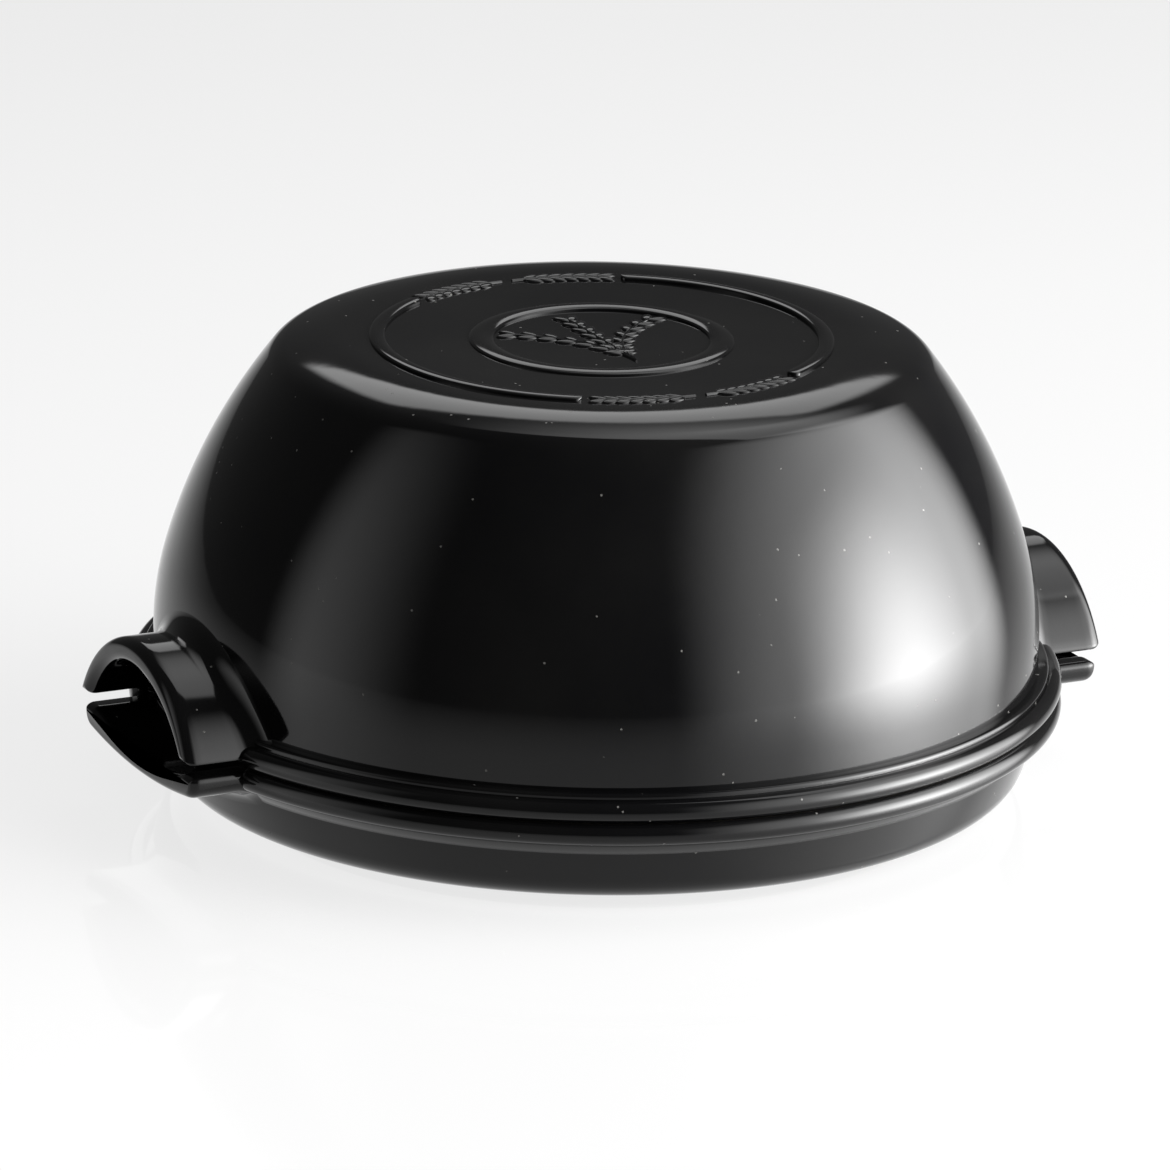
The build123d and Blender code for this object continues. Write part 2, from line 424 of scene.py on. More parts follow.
def make_glaze(name, bare_below):
    """The glaze, with bare clay below a height in millimetres."""
    material = bpy.data.materials.new(name)
    material.use_nodes = True
    board = Board(material.node_tree)
    board.tree.nodes.clear()
    place = board.node("ShaderNodeTexCoord", out="Object")
    split = board.tree.nodes.new("ShaderNodeSeparateXYZ")
    board.tree.links.new(place.socket, split.inputs[0])
    height = Wire(board, split.outputs["Z"])
    bare = height < bare_below * MM
    cloud = board.node("ShaderNodeTexNoise", {}, {"Vector": place, "Scale": 14, "Detail": 4})
    grain = board.node("ShaderNodeTexNoise", {}, {"Vector": place, "Scale": 900, "Detail": 2})
    peel = board.node("ShaderNodeTexNoise", {}, {"Vector": place, "Scale": 140, "Detail": 1})
    swell = board.node("ShaderNodeTexNoise", {}, {"Vector": place, "Scale": 22, "Detail": 2})
    cell = board.node(
        "ShaderNodeTexVoronoi", {}, {"Vector": place, "Scale": 210, "Randomness": 1}, out="Distance"
    )
    thin = board.node("ShaderNodeTexNoise", {}, {"Vector": place, "Scale": 60, "Detail": 2})
    speck = (cell < SPECK_SIZE) * (thin > SPECK_RARITY)
    bloom = board.node(
        "ShaderNodeMapRange", {}, {"Value": cloud, "From Min": 0.4, "From Max": 0.75}
    )
    black = blend_colour(board, bloom, GLAZE_BLACK, GLAZE_BLOOM)
    black = blend_colour(board, speck * 0.8, black, SPECK_GREY)
    clay = blend_colour(board, grain, BARE_CLAY, CLAY_GRIT)
    colour = blend_colour(board, bare, black, clay)
    gloss = GLAZE_ROUGHNESS + bloom * BLOOM_ROUGHNESS + speck * SPECK_ROUGHNESS
    roughness = gloss * (1 - bare) + bare * CLAY_ROUGHNESS
    relief = swell * 0.5 + peel * 0.09 - speck * 0.05
    relief = relief * (1 - bare) + grain * bare * 0.25
    bump = board.node(
        "ShaderNodeBump", {}, {"Strength": RELIEF[0], "Distance": RELIEF[1], "Height": relief}
    )
    shader = board.node(
        "ShaderNodeBsdfPrincipled",
        {},
        {
            "Base Color": colour,
            "Roughness": roughness,
            "Specular IOR Level": GLAZE_GLOSS,
            "Normal": bump,
        },
    )
    board.node("ShaderNodeOutputMaterial", {}, {"Surface": shader})
    return material


SEAT_WIPED = 0.12                  # millimetres of bare clay above the lid's seat
FOOT_WIPED = 1.4
LID_GLAZE = make_glaze("black_glaze_lid", bare_below=lid_low.z / MM + SEAT_WIPED)
DISH_GLAZE = make_glaze("black_glaze_dish", bare_below=FOOT_WIPED)
print("materials:", LID_GLAZE.name, DISH_GLAZE.name)

# %% [markdown]
# ## The dome
# The lid's wall stands straight for a thumb's width above the seam, turns in, and runs up in
# one long curve to a flat top with a soft edge. The top is dished by two millimetres, so that
# the lid stands steady upside down. The wall is an outline with an outer and an inner side,
# turned right round: one closed shell, open below.

# %% Sizes of the lid's wall
SEAM = lid_low.z / MM
TOP = 152.3
DOME_RADIUS = 147.0
WALL = 7.0
UPRIGHT = 18.0
SHOULDER_RADIUS = 99.0
SHOULDER_TURN = math.radians(16)
SIDE_RADIUS = 194.0
TOP_EDGE_RADIUS = 11.5
TOP_DISH = 2.0
ROLL_START = 82.0                  # outside this radius the top falls away to its edge
ROLL_RADIUS = 70.0
INNER_CORNER_RADIUS = 14.0
RIM_EDGE = 0.9                     # softening of the rim's two edges
TURN_STATIONS = 240

shoulder_centre = Vector((DOME_RADIUS - SHOULDER_RADIUS, SEAM + UPRIGHT))
side_centre = shoulder_centre + (SHOULDER_RADIUS - SIDE_RADIUS) * Vector(
    (math.cos(SHOULDER_TURN), math.sin(SHOULDER_TURN))
)
TOP_RADIUS = side_centre.x + math.sqrt(SIDE_RADIUS ** 2 - (TOP - side_centre.y) ** 2)


def top_height(radius):
    """Height of the dished top, with its falling rim."""
    beyond = max(radius - ROLL_START, 0)
    return TOP - TOP_DISH * (1 - (radius / TOP_RADIUS) ** 2) - beyond ** 2 / (2 * ROLL_RADIUS)


def top_fall(radius):
    """Angle at which the top falls outwards at a radius."""
    beyond = max(radius - ROLL_START, 0)
    return math.atan(beyond / ROLL_RADIUS - 2 * TOP_DISH * radius / TOP_RADIUS ** 2)


def lid_wall_radius(height):
    """Outer radius of the lid's wall at a height."""
    if height <= shoulder_centre.y:
        return DOME_RADIUS
    rise = height - shoulder_centre.y
    if rise <= SHOULDER_RADIUS * math.sin(SHOULDER_TURN):
        return shoulder_centre.x + math.sqrt(SHOULDER_RADIUS ** 2 - rise ** 2)
    return side_centre.x + math.sqrt(SIDE_RADIUS ** 2 - (height - side_centre.y) ** 2)


def side_points(inset, top_angle):
    """The side from its top angle down to the straight wall, set in by inset."""
    side = arc(side_centre, SIDE_RADIUS - inset, top_angle, SHOULDER_TURN, 26)
    return side + arc(shoulder_centre, SHOULDER_RADIUS - inset, SHOULDER_TURN, 0, 10)[1:]


def top_edge():
    """Centre of the top edge's rounding, and the angles of its first and last point."""
    low, high = SHOULDER_TURN, math.radians(60)
    for _ in range(40):
        angle = (low + high) / 2
        spoke = Vector((math.cos(angle), math.sin(angle)))
        centre = side_centre + (SIDE_RADIUS - TOP_EDGE_RADIUS) * spoke
        fall = top_fall(centre.x)
        for _ in range(3):
            touch = centre + TOP_EDGE_RADIUS * Vector((math.sin(fall), math.cos(fall)))
            fall = top_fall(touch.x)
        if touch.y < top_height(touch.x):
            low = angle
        else:
            high = angle
    return centre, math.pi / 2 - fall, angle


# %% Turn the dome
def lid_outline():
    """The lid's wall from the middle of the top, over the outside and back up the inside."""
    edge_centre, start, angle = top_edge()
    roll_end = edge_centre.x + TOP_EDGE_RADIUS * math.cos(start)
    flat, roll = 16, 8
    top = [ROLL_START * step / flat for step in range(flat)]
    top += [ROLL_START + (roll_end - ROLL_START) * step / roll for step in range(roll)]
    points = [Vector((radius, top_height(radius))) for radius in top]
    points += arc(edge_centre, TOP_EDGE_RADIUS, start, angle, 10)
    points += side_points(0, angle)[1:]
    inner = DOME_RADIUS - WALL
    points += rounded([
        (DOME_RADIUS, shoulder_centre.y, 0),
        (DOME_RADIUS, SEAM, RIM_EDGE),
        (inner, SEAM, RIM_EDGE),
        (inner, shoulder_centre.y, 0),
    ])[1:-1]
    inner_top = TOP - TOP_DISH - WALL
    reach = SIDE_RADIUS - WALL - INNER_CORNER_RADIUS
    corner_angle = math.asin((inner_top - INNER_CORNER_RADIUS - side_centre.y) / reach)
    corner = side_centre + reach * Vector((math.cos(corner_angle), math.sin(corner_angle)))
    points += list(reversed(side_points(WALL, corner_angle)))
    points += arc(corner, INNER_CORNER_RADIUS, corner_angle, math.pi / 2, 8)[1:]
    points += [Vector((corner.x * step / 8, inner_top)) for step in range(7, -1, -1)]
    return points


lid_dome = grown(
    "lid_dome", outline(lid_outline()), TURNING, {"Stations": TURN_STATIONS, "Finish": LID_GLAZE}
)

# %% [markdown]
# ## The dish
# The dish is turned the same way: a foot ring that lifts it off the table, a wall that leans
# out, a flat seat for the lid, and just inside the seat a low lip that keeps the lid in the
# middle.

# %% Turn the dish
FOOT_HEIGHT = 3.8
FOOT_RADIUS = 118.0
FOOT_WIDTH = 6.5
BASE_RADIUS = 141.0
BASE_CORNER = 11.0
DISH_RIM_RADIUS = 148.0
RIM_FOOT = 26.0
LIP_OUTER = 138.8
LIP_WIDTH = 5.0
LIP_HEIGHT = 5.0
LIP_EDGE = 1.6
FLOOR_TOP = 11.0
FLOOR_RADIUS = 132.0
FLOOR_CORNER = 10.0
FOOT_EDGE = 1.2


def dish_wall_radius(height):
    """Outer radius of the dish's wall at a height."""
    share = min(1, (height - FOOT_HEIGHT) / (RIM_FOOT - FOOT_HEIGHT))
    return BASE_RADIUS + (DISH_RIM_RADIUS - BASE_RADIUS) * share


def spread(start, end, steps):
    """Points strictly between two points, so that long flats have faces of even size."""
    start, end = Vector(start), Vector(end)
    return [start.lerp(end, step / steps) for step in range(1, steps)]


def dish_outline():
    """The dish from the middle of its underside, round the outside and over the seat."""
    foot_inner = FOOT_RADIUS - FOOT_WIDTH
    lip_inner = LIP_OUTER - LIP_WIDTH
    corners = [
        (0, FOOT_HEIGHT, 0),
        (foot_inner, FOOT_HEIGHT, FOOT_EDGE),
        (foot_inner, 0, FOOT_EDGE),
        (FOOT_RADIUS, 0, FOOT_EDGE),
        (FOOT_RADIUS, FOOT_HEIGHT, FOOT_EDGE),
        (BASE_RADIUS, FOOT_HEIGHT, BASE_CORNER),
        (DISH_RIM_RADIUS, RIM_FOOT, 3),
        (DISH_RIM_RADIUS, SEAM, RIM_EDGE),
        (LIP_OUTER, SEAM, RIM_EDGE),
        (LIP_OUTER, SEAM + LIP_HEIGHT, LIP_EDGE),
        (lip_inner, SEAM + LIP_HEIGHT, LIP_EDGE),
        (FLOOR_RADIUS, FLOOR_TOP, FLOOR_CORNER),
        (0, FLOOR_TOP, 0),
    ]
    points = rounded(corners)
    under = spread(points[0], points[1], 8)
    floor = spread(points[-2], points[-1], 8)
    return [points[0], *under, *points[1:-1], *floor, points[-1]]


dish_body = grown(
    "dish_body", outline(dish_outline()), TURNING, {"Stations": TURN_STATIONS, "Finish": DISH_GLAZE}
)

# %% [markdown]
# ## Ledges, beads and ribs
# Both rims are stiffened by a ledge and a half-round bead, which meet at the seam and stop
# short of the lugs. On the floor of the dish, broken rings of ribs hold the loaf up so that
# steam can move under it, and the flat top carries two raised rings. They are all one kind of
# thing, a small outline carried part of the way round, so one tree makes them.

# %% Sizes of the rims
LEDGE_RADIUS = 150.5
LEDGE_ROOT = DOME_RADIUS - 3
LEDGE_TOP = SEAM + 9.2
LEDGE_BEVEL = 1.2
LEDGE_STOP = math.radians(16.4)
LEDGE_END = 4.0
DISH_LEDGE_FOOT = 19.6
DISH_LEDGE_TURN = 22.0
DISH_LEDGE_BEVEL = 3
LEDGE_GAP = 0.1                    # between each ledge and the seam
LEDGE_EDGE = 0.5
RIM_RADIUS = 155.0
LID_BEAD = 3.6
DISH_BEAD = 3.9
BEAD_STOP = math.radians(15.9)


def ridge(
    name, section, root, draw_in, path_radius, start, sweep, end_length, copies, finish,
    stations=150,
):
    """A ridge round the axis: its outline, where it is rooted, and how its ends draw in."""
    values = {
        "Stations": stations,
        "End stations": 8,
        "Start": start,
        "Sweep": sweep,
        "End length": end_length * MM,
        "Path radius": path_radius * MM,
        "Root": (root[0] * MM, 0, root[1] * MM),
        "Draw in": draw_in,
        "Copies": copies,
        "Finish": finish,
    }
    return grown(name, outline(section, closed=True), RIDGE, values)


# %% Ledges and beads
def half_turn_ridge(name, section, root, draw_in, stop, end_length, finish):
    """Two ridges, one on each side, that stop short of the lugs."""
    sweep = math.pi - 2 * stop
    return ridge(name, section, root, draw_in, DOME_RADIUS, stop, sweep, end_length, 2, finish)


def bead_section(height, radius):
    """A round bead that stands out to the rim."""
    return arc((RIM_RADIUS - radius, height), radius, 0, math.tau * 23 / 24, 23)


lid_ledge_section = rounded([
    (LEDGE_ROOT, SEAM + LEDGE_GAP, 0),
    (LEDGE_RADIUS, SEAM + LEDGE_GAP, LEDGE_EDGE),
    (LEDGE_RADIUS, LEDGE_TOP, LEDGE_BEVEL),
    (DOME_RADIUS + 0.6, LEDGE_TOP, 0),
    (LEDGE_ROOT, LEDGE_TOP, 0),
], steps=5)
dish_ledge_section = rounded([
    (LEDGE_ROOT, DISH_LEDGE_FOOT, 0),
    (DISH_RIM_RADIUS - 1.0, DISH_LEDGE_TURN, 0),
    (LEDGE_RADIUS, RIM_FOOT, DISH_LEDGE_BEVEL),
    (LEDGE_RADIUS, SEAM - LEDGE_GAP, LEDGE_EDGE),
    (LEDGE_ROOT, SEAM - LEDGE_GAP, 0),
], steps=5)
ledge_foot = (LEDGE_ROOT, SEAM)
sideways = (0.98, 0, 0)            # how much of its depth and height an end loses
all_ways = (0.98, 0, 0.98)
lid_ledge = half_turn_ridge(
    "lid_ledge", lid_ledge_section, ledge_foot, sideways, LEDGE_STOP, LEDGE_END, LID_GLAZE
)
dish_ledge = half_turn_ridge(
    "dish_ledge", dish_ledge_section, ledge_foot, sideways, LEDGE_STOP, LEDGE_END, DISH_GLAZE
)
lid_bead_height = SEAM + LID_BEAD
dish_bead_height = SEAM - DISH_BEAD
lid_bead = half_turn_ridge(
    "lid_bead",
    bead_section(lid_bead_height, LID_BEAD),
    (RIM_RADIUS - LID_BEAD, lid_bead_height),
    all_ways,
    BEAD_STOP,
    LID_BEAD,
    LID_GLAZE,
)
dish_bead = half_turn_ridge(
    "dish_bead",
    bead_section(dish_bead_height, DISH_BEAD),
    (RIM_RADIUS - DISH_BEAD, dish_bead_height),
    all_ways,
    BEAD_STOP,
    DISH_BEAD,
    DISH_GLAZE,
)

# %% Raised rings on the top, and ribs on the floor
OUTER_RING = (74.0, 5.0, 1.3)      # radius, width, height
INNER_RING = (39.7, 8.0, 1.2)
RING_CROWN_SHARE = 0.06            # rise of a ring's crowned back, as a share of its width
RING_SHOULDER = 0.35
OUTER_RING_SWEEP = math.radians(119)
RIB_WIDTH = 6.0
RIB_HEIGHT = 2.2
RIB_ROUNDING = 1.7
RIB_RADII = [28.0 + 24.0 * ring for ring in range(4)]
RIB_SWEEP = math.radians(66)
SINK = 1.2


def band_section(radius, base, width, height, rounding):
    """A low band with rounded shoulders, rooted a little below the face it stands on."""
    half = width / 2
    return rounded([
        (radius - half, base - SINK, 0),
        (radius + half, base - SINK, 0),
        (radius + half, base + height, rounding),
        (radius - half, base + height, rounding),
    ], steps=5)


def ring_section(radius, width, height):
    """A ring on the top: steep sides, small shoulders and a gently crowned back."""
    base = top_height(radius)
    half, crown = width / 2, width * RING_CROWN_SHARE
    back = half - RING_SHOULDER
    bend = (back ** 2 + crown ** 2) / (2 * crown)
    reach = math.asin(back / bend)
    points = [Vector((radius - half, base - SINK)), Vector((radius + half, base - SINK))]
    points.append(Vector((radius + half, base + height - crown - RING_SHOULDER)))
    centre = (radius, base + height - bend)
    points += arc(centre, bend, math.pi / 2 - reach, math.pi / 2 + reach, 12)
    points.append(Vector((radius - half, base + height - crown - RING_SHOULDER)))
    return points


def band(name, section, radius, base, width, sweep, copies, turn, finish):
    """Copies of a band round the axis, their ends rounded in plan."""
    start = turn - sweep / 2
    draw_in = (0.94, 0, 0)
    return ridge(
        name, section, (radius, base), draw_in, radius, start, sweep, width / 2, copies, finish, 90
    )


outer_ring = band(
    "top_ring_outer",
    ring_section(*OUTER_RING),
    OUTER_RING[0],
    top_height(OUTER_RING[0]),
    OUTER_RING[1],
    OUTER_RING_SWEEP,
    2,
    0,
    LID_GLAZE,
)
ribs = [
    band(
        f"dish_ribs_{number + 1}",
        band_section(radius, FLOOR_TOP, RIB_WIDTH, RIB_HEIGHT, RIB_ROUNDING),
        radius,
        FLOOR_TOP,
        RIB_WIDTH,
        RIB_SWEEP,
        4,
        number * math.pi / 4,
        DISH_GLAZE,
    )
    for number, radius in enumerate(RIB_RADII)
]
inner_ring = grown(
    "top_ring_inner",
    outline(ring_section(*INNER_RING), True),
    TURNING,
    {"Stations": 160, "Finish": LID_GLAZE},
)

# %% [markdown]
# ## Wheat ears on the top
# A bread dish is often marked with ears of wheat. Seven plain ones stand in low relief here: a
# pair in each gap of the outer ring and a sheaf of three inside the inner one. An ear is a rule,
# so a tree makes them all: grains stand in pairs along a path and lean outwards, a stalk runs
# below them, and the whole is then laid on the dished top.


# %% The tree for an ear of wheat
def grain_row(board, path, wires, side):
    """Grains on one side of a path, leaning away from it."""
    maker = board.tree.nodes.new("GeometryNodeCurveToPoints")
    maker.mode = "COUNT"
    board.tree.links.new(path.socket, maker.inputs["Curve"])
    board.tree.links.new(wires["Grains"].socket, maker.inputs["Count"])
    points, tangent = Wire(board, maker.outputs["Points"]), Wire(board, maker.outputs["Tangent"])
    across = board.node(
        "ShaderNodeVectorRotate",
        {"rotation_type": "Z_AXIS"},
        {"Vector": tangent, "Angle": math.pi / 2},
    )
    shift = board.node(
        "ShaderNodeVectorMath",
        {"operation": "SCALE"},
        {"Vector": across, "Scale": wires["Apart"] * side},
    )
    points = board.node("GeometryNodeSetPosition", {}, {"Geometry": points, "Offset": shift})
    parts = board.tree.nodes.new("ShaderNodeSeparateXYZ")
    board.tree.links.new(tangent.socket, parts.inputs[0])
    heading = Wire(board, parts.outputs["Y"]).sum("ARCTAN2", Wire(board, parts.outputs["X"]))
    turn = board.node("ShaderNodeCombineXYZ", {}, {"Z": heading + wires["Lean"] * side})
    turn = board.node("FunctionNodeEulerToRotation", {}, [turn])
    grain = board.node("GeometryNodeMeshUVSphere", {}, {"Segments": 14, "Rings": 8, "Radius": 0.5})
    return board.node(
        "GeometryNodeInstanceOnPoints",
        {},
        {"Points": points, "Instance": grain, "Rotation": turn, "Scale": wires["Grain size"]},
    )


def make_ear_tree():
    """Ears of wheat along flat paths, laid on the dished top."""
    inputs = {
        "Grains": "Int",
        "Grain size": "Vector",
        "Apart": "Float",
        "Lean": "Float",
        "Stalk share": "Float",
        "Stalk radius": "Float",
        "Top": "Float",
        "Dish": "Float",
        "Edge": "Float",
        "Finish": "Material",
    }
    board, wires = start_tree("wheat_ear", inputs)
    path = board.node("GeometryNodeMeshToCurve", {}, [wires["Outline"]])
    ear_path = board.node(
        "GeometryNodeTrimCurve", {"mode": "FACTOR"}, {"Curve": path, "Start": wires["Stalk share"]}
    )
    rows = [grain_row(board, ear_path, wires, side) for side in (1, -1)]
    round_wire = board.node(
        "GeometryNodeCurvePrimitiveCircle", {}, {"Resolution": 8, "Radius": wires["Stalk radius"]}
    )
    stalk = board.node(
        "GeometryNodeCurveToMesh",
        {},
        {"Curve": path, "Profile Curve": round_wire, "Fill Caps": True},
    )
    join = board.tree.nodes.new("GeometryNodeJoinGeometry")
    for part in (*rows, stalk):
        board.tree.links.new(part.socket, join.inputs[0])
    ear = board.node("GeometryNodeRealizeInstances", {}, [Wire(board, join.outputs[0])])
    place = board.node("GeometryNodeInputPosition")
    flat = board.node("ShaderNodeVectorMath", {"operation": "MULTIPLY"}, [place, (1, 1, 0)])
    out = board.node("ShaderNodeVectorMath", {"operation": "LENGTH"}, [flat], out=1) / wires["Edge"]
    height = wires["Top"] - wires["Dish"] * (1 - out * out)
    rise = board.node("ShaderNodeCombineXYZ", {}, {"Z": height})
    ear = board.node("GeometryNodeSetPosition", {}, {"Geometry": ear, "Offset": rise})
    return end_tree(board, ear, wires["Finish"])


# %% Grow the ears
EAR_RING = 74.0
EAR_TURNS = (math.radians(1.5), math.radians(26.5))
SHEAF_FOOT, SHEAF_HEIGHT = 27.0, 54.0
SHEAF_SPREAD = math.radians(62)
GRAIN_SIZE = (7.6, 4.0, 1.7)       # long, wide and thick, half of it sunk in the top
GRAINS_IN_A_ROW = 7
GRAINS_APART = 1.9                 # from the ear's middle line
GRAIN_LEAN = math.radians(30)
STALK_SHARE = 0.22                 # of the path, bare below the grains
STALK_RADIUS = 0.7


def ear_paths():
    """Seven flat paths: two along the ring in each gap, and three fanned out from one foot."""
    paths = []
    for side in (math.pi / 2, -math.pi / 2):
        for way in (1, -1):
            start, end = (side + way * turn for turn in EAR_TURNS)
            paths.append(arc((0, 0), EAR_RING, start, end, 12))
    foot = Vector((0, -SHEAF_FOOT))
    paths.append([foot, foot + Vector((0, SHEAF_HEIGHT))])
    bend = SHEAF_HEIGHT / SHEAF_SPREAD
    paths.append(arc(foot + Vector((bend, 0)), bend, math.pi, math.pi - SHEAF_SPREAD, 12))
    paths.append(arc(foot - Vector((bend, 0)), bend, 0, SHEAF_SPREAD, 12))
    return paths


def path_object(paths):
    """Several open paths in one object."""
    mesh = bpy.data.meshes.new("paths")
    points, edges = [], []
    for path in paths:
        first = len(points)
        points += [Vector((point.x, point.y, 0)) * MM for point in path]
        edges += [(index, index + 1) for index in range(first, len(points) - 1)]
    mesh.from_pydata(points, edges, [])
    piece = bpy.data.objects.new("paths", mesh)
    bpy.context.collection.objects.link(piece)
    return piece


top_ears = grown("top_ears", path_object(ear_paths()), make_ear_tree(), {
    "Grains": GRAINS_IN_A_ROW,
    "Grain size": [size * MM for size in GRAIN_SIZE],
    "Apart": GRAINS_APART * MM,
    "Lean": GRAIN_LEAN,
    "Stalk share": STALK_SHARE,
    "Stalk radius": STALK_RADIUS * MM,
    "Top": TOP * MM,
    "Dish": TOP_DISH * MM,
    "Edge": TOP_RADIUS * MM,
    "Finish": LID_GLAZE,
})

# %% [markdown]
# ## The lugs
# Each side is lifted by a pair of lugs. The lid's is an arched strap, open below like a
# bridge; the dish's hangs under it and is hollowed on top, so that fingers go in between. A
# lug is a section carried outwards, so it is built as rings of points, from the root to the
# end. Towards the end each ring is drawn in a little more, which rounds the whole end. At the
# root the rings flare on to the wall in a cove, because clay can't hold a sharp inside corner.

# %% Sizes of the lugs
LUG_REACH = lid_high.x / MM
ARCH_HALF = 45.0
ARCH_CROWN = SEAM + 32.0
ARCH_CROWN_WALL = 8.5
ARCH_FOOT_WALL = 7.2
ARCH_FEET = SEAM + 2.8
ARCH_END_ROUND = (3.2, 4.2)        # how far the end draws in, and over what length
JAW_REACH = dish_high.x / MM
JAW_HALF = 44.5
JAW_TOP = SEAM - 1.3
JAW_SIDE = 7.2
JAW_FOOT_WALL = 7.0
JAW_DROP = 11.4
JAW_VALLEY = 6.2
JAW_CORNER = 6.0
JAW_END_ROUND = (2.3, 3.4)
COVE = 6.0                         # radius of the flare on to the wall
LUG_SINK = 2.5                     # how far a lug is rooted in the wall


def circle_through(half, edge, middle):
    """Centre height and radius of the arc through (-half, edge), (0, middle), (half, edge)."""
    rise = middle - edge
    radius = (half ** 2 + rise ** 2) / (2 * abs(rise))
    return middle - math.copysign(radius, rise), radius


# %% Section of the lid's arched lug
def arch_section(inset):
    """Ring of (across, up) points with how far the cove spreads each of them, set in by inset."""
    outer_centre, outer_radius = circle_through(ARCH_HALF, ARCH_FEET, ARCH_CROWN)
    inner_half = ARCH_HALF - ARCH_FOOT_WALL
    inner_centre, inner_radius = circle_through(inner_half, ARCH_FEET, ARCH_CROWN - ARCH_CROWN_WALL)
    outer_radius -= inset
    inner_radius += inset
    feet = ARCH_FEET + inset
    foot_round = max(1.6 - inset, 0.12)
    outer_end = math.asin((feet + foot_round * 1.2 - outer_centre) / outer_radius)
    inner_end = math.asin((feet + foot_round * 1.2 - inner_centre) / inner_radius)
    outer_foot = math.sqrt(outer_radius ** 2 - (feet - outer_centre) ** 2)
    inner_foot = math.sqrt(inner_radius ** 2 - (feet - inner_centre) ** 2)
    outer = arc((0, outer_centre), outer_radius, math.pi - outer_end, outer_end, 48)
    inner = arc((0, inner_centre), inner_radius, inner_end, math.pi - inner_end, 48)
    trim = min(foot_round, (outer_foot - inner_foot) * 0.45)

    def foot(side):
        """The rounded foot between the two arcs, from the outside in."""
        begin = Vector((outer[-1].x, outer[-1].y))
        corner = Vector((outer_foot, feet))
        flat = Vector((outer_foot - trim, feet))
        flat_end = Vector((inner_foot + trim, feet))
        inner_corner = Vector((inner_foot, feet))
        finish = Vector((inner[0].x, inner[0].y))
        out = [curve_point(begin, corner, flat, t / 4) for t in range(1, 5)]
        out += [curve_point(flat_end, inner_corner, finish, t / 4) for t in range(0, 4)]
        return [Vector((point.x * side, point.y)) for point in out]

    ring = [(point, (point - Vector((0, outer_centre))).normalized()) for point in outer]
    right = foot(1)
    ring += [(point, Vector((1 - order / 7, 0))) for order, point in enumerate(right)]
    ring += [(point, Vector((0, 0))) for point in inner]
    left = list(reversed(foot(-1)))
    ring += [(point, Vector((-order / 7, 0))) for order, point in enumerate(left)]
    return ring


def curve_point(start, corner, end, share):
    """A point on the smooth curve that leaves start towards corner and comes in to end."""
    return start.lerp(corner, share).lerp(corner.lerp(end, share), share)


# %% Section of the dish's hollowed lug
def jaw_section(inset):
    """Ring of points for the lug below: hollow on top, rounded below, set in by inset."""
    half = JAW_HALF - inset
    top = JAW_TOP - inset
    under_centre, under_radius = circle_through(JAW_HALF, JAW_TOP - JAW_SIDE, JAW_TOP - JAW_DROP)
    under_radius -= inset
    valley_half = JAW_HALF - JAW_FOOT_WALL
    valley_centre, valley_radius = circle_through(valley_half, JAW_TOP, JAW_TOP - JAW_VALLEY)
    valley_radius += inset

    def on(centre, radius, across):
        return centre - math.sqrt(radius ** 2 - across ** 2)

    valley_edge = math.sqrt(valley_radius ** 2 - (valley_centre - top) ** 2)
    valley_edge = min(valley_edge, half - 1.2)
    top_round = max(1.8 - inset, 0.25)
    corner = max(JAW_CORNER - inset, 1)
    straight = half - JAW_CORNER - 1.0
    under = [
        (across, on(under_centre, under_radius, across), 0)
        for across in (straight * step / 18 for step in range(-18, 19))
    ]
    hollow_reach = valley_edge - 3.2
    hollow = [
        (across, on(valley_centre, valley_radius, across), 0)
        for across in (hollow_reach * step / 18 for step in range(18, -19, -1))
    ]
    right = [
        (half, on(under_centre, under_radius, half), corner),
        (half, top, top_round),
        (valley_edge, top, 0.1 + min(6, (half - valley_edge - top_round) * 3)),
    ]
    left = [(-across, up, radius) for across, up, radius in reversed(right)]
    points = rounded(under + right + hollow + left)
    ring = []
    for point in points:
        inside = on_hollow(point, valley_centre, valley_radius)
        outside = point.y < top - top_round * 0.5 and not inside
        direction = Vector((0, 0))
        if outside:
            middle = Vector((0, JAW_TOP + 30))
            direction = (point - middle).normalized()
            if abs(point.x) > straight:
                direction = Vector((math.copysign(1, point.x), -0.35)).normalized()
        ring.append((point, direction))
    return ring


def on_hollow(point, centre, radius):
    """Whether a point lies on the hollow's curve."""
    return abs((point - Vector((0, centre))).length - radius) < 0.05


